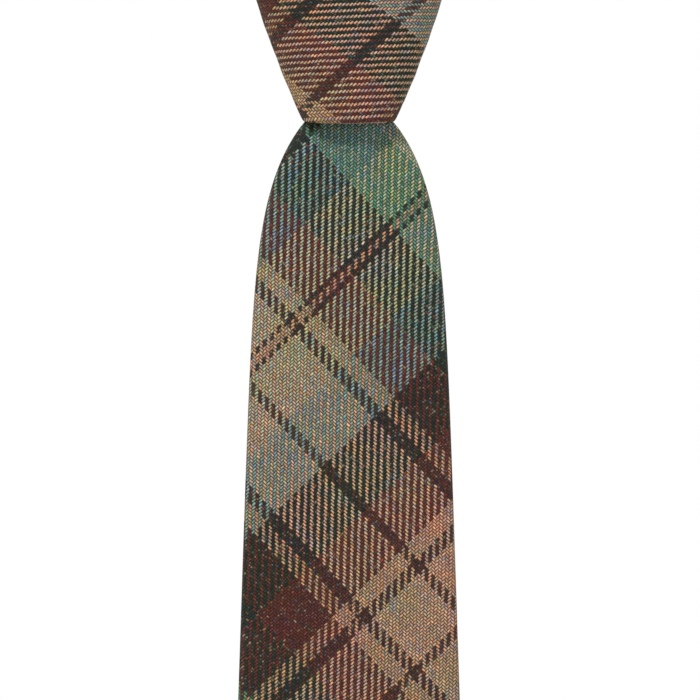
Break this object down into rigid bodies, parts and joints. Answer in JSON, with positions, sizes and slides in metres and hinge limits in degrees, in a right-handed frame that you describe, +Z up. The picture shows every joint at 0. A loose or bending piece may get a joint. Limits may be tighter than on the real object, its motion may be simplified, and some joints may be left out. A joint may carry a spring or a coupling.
{
  "type": "necktie",
  "caption": "Wool tweed necktie in a bias-cut tartan, tied in a symmetrical wide knot, with its neck loop, folded pointed front blade and a narrower tail held in a keeper loop behind.",
  "frame": {"origin": "centre of the neck opening, level with the top of the knot", "axes": "+Z up along the hanging tie, the wearer and the front blade face -Y, +X to the right of someone looking at the wearer"},
  "size_m": [0.1348, 0.1651, 0.5638],
  "materials": {
    "tweed": "wool twill tartan in green, maroon, tan and dark brown, matt and slightly hairy",
    "interlining": "brushed wool-blend canvas, matt",
    "tipping_lining": "satin-weave lining with a soft sheen",
    "thread": "twisted silk sewing thread, slight sheen",
    "label_cloth": "damask label cloth, plain, no lettering"
  },
  "bodies": {
    "neck_loop": {"neck_gusset": "tweed", "blade_side_strap": "tweed", "tail_side_strap": "tweed", "blade_strap_drop": "tweed", "tail_strap_drop": "tweed", "neck_interlining": "interlining", "neck_slip_stitch": "thread"},
    "knot": {"knot_front_band": "tweed", "knot_back_band": "tweed", "knot_inner_blade": "tweed", "knot_tail_strand": "tweed", "knot_left_loop": "tweed", "knot_right_loop": "tweed"},
    "front_blade": {"blade_shell": "tweed", "blade_interlining": "interlining", "blade_tipping": "tipping_lining", "blade_slip_stitch": "thread", "blade_bar_tack": "thread", "keeper_loop": "tweed", "woven_label": "label_cloth", "tail_upper": "tweed"},
    "care_tag": {"care_tag": "label_cloth"},
    "tail": {"tail_shell": "tweed", "tail_interlining": "interlining", "tail_tipping": "tipping_lining", "tail_slip_stitch": "thread", "tail_bar_tack": "thread"}
  },
  "joints": [
    {"name": "knot_slide", "type": "slide", "parent": "neck_loop", "child": "knot", "axis": [0, 0, -1], "range_m": [0, 0.04], "deforming": ["blade_strap_drop", "tail_strap_drop"]},
    {"name": "blade_lift", "type": "hinge", "parent": "knot", "child": "front_blade", "pos_m": [0, -0.083, -0.0456], "axis": [-1, 0, 0], "range_deg": [0, 75]},
    {"name": "tail_draw", "type": "slide", "parent": "front_blade", "child": "tail", "axis": [0, 0, 1], "range_m": [0, 0.08], "deforming": ["tail_upper"]},
    {"name": "care_tag_flip", "type": "hinge", "parent": "front_blade", "child": "care_tag", "pos_m": [0.01, -0.0782, -0.4516], "axis": [1, 0, 0], "range_deg": [0, 120]}
  ],
  "couplings": [
    {"joint": "tail_draw", "follows": "knot_slide", "ratio": 2}
  ]
}
